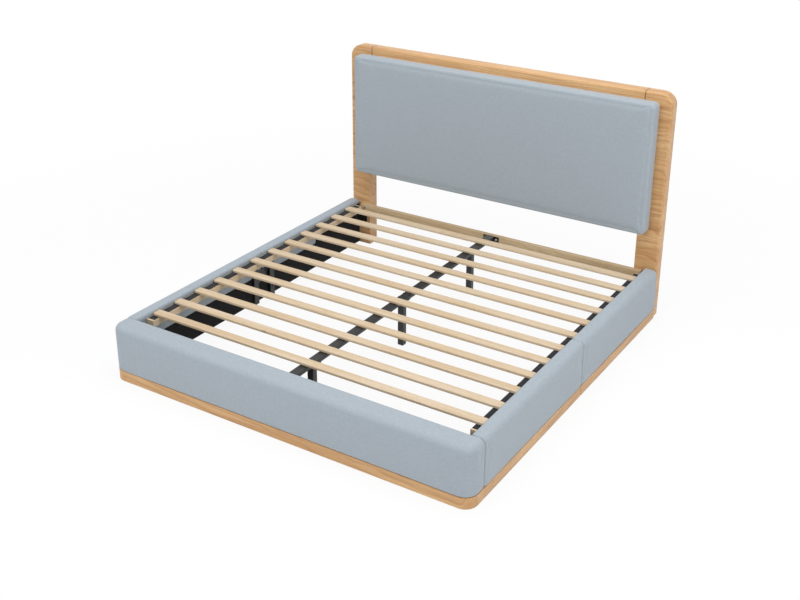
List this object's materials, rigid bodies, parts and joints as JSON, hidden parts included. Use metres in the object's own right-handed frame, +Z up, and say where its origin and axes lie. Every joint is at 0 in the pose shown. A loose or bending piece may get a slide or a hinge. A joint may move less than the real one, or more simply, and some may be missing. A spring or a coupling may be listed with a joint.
{
  "type": "upholstered bed",
  "caption": "King platform bed with a padded footboard, padded side rails, an arched wooden headboard frame with a padded panel, wooden slats and a steel centre beam",
  "frame": {"origin": "on the floor, under the middle of the whole bed's box", "axes": "+X to the right seen from the foot end, +Y from foot to head, +Z up"},
  "size_m": [2.14, 2.278, 1.347],
  "materials": {
    "ash": "satin",
    "pine": "matte",
    "plywood": "matte",
    "fabric": "matte",
    "foam": "matte",
    "lining": "matte",
    "tape": "matte",
    "black_steel": "satin",
    "black_plastic": "matte",
    "bright_steel": "satin"
  },
  "bodies": {
    "root": {"beam_foot_bracket": "black_steel", "beam_head_bracket": "black_steel", "beam_sleeve": "black_steel", "bolts": "black_steel", "bracket_bolts": "bright_steel", "centre_beam_front": "black_steel", "centre_beam_rear": "black_steel", "centre_leg_front": "black_steel", "centre_leg_middle": "black_steel", "centre_leg_rear": "black_steel", "corner_brackets": "black_steel", "foot_back_board": "plywood", "foot_blocks": "pine", "foot_cover": "fabric", "foot_foam": "foam", "foot_front_board": "plywood", "foot_lining": "lining", "foot_plinth": "ash", "head_back_lining": "lining", "head_cross_rail": "pine", "head_dowels": "pine", "head_lower_rail": "ash", "head_panel_board": "plywood", "head_panel_cover": "fabric", "head_panel_foam": "foam", "head_panel_screws": "bright_steel", "head_post_left": "ash", "head_post_right": "ash", "head_top_rail": "ash", "hook_tapes": "tape", "leg_caps": "black_plastic", "loop_pads": "tape", "rail_battens": "pine", "rail_boards": "plywood", "rail_cover_left_front": "fabric", "rail_cover_left_rear": "fabric", "rail_cover_right_front": "fabric", "rail_cover_right_rear": "fabric", "rail_foams": "foam", "rail_joint_plates": "black_steel", "rail_ledges_left": "pine", "rail_ledges_right": "pine", "rail_linings": "lining", "rail_plinth_left_front": "ash", "rail_plinth_left_rear": "ash", "rail_plinth_right_front": "ash", "rail_plinth_right_rear": "ash", "side_legs": "black_steel", "slat_01": "pine", "slat_02": "pine", "slat_03": "pine", "slat_04": "pine", "slat_05": "pine", "slat_06": "pine", "slat_07": "pine", "slat_08": "pine", "slat_09": "pine", "slat_10": "pine", "slat_11": "pine", "slat_12": "pine"}
  },
  "joints": []
}
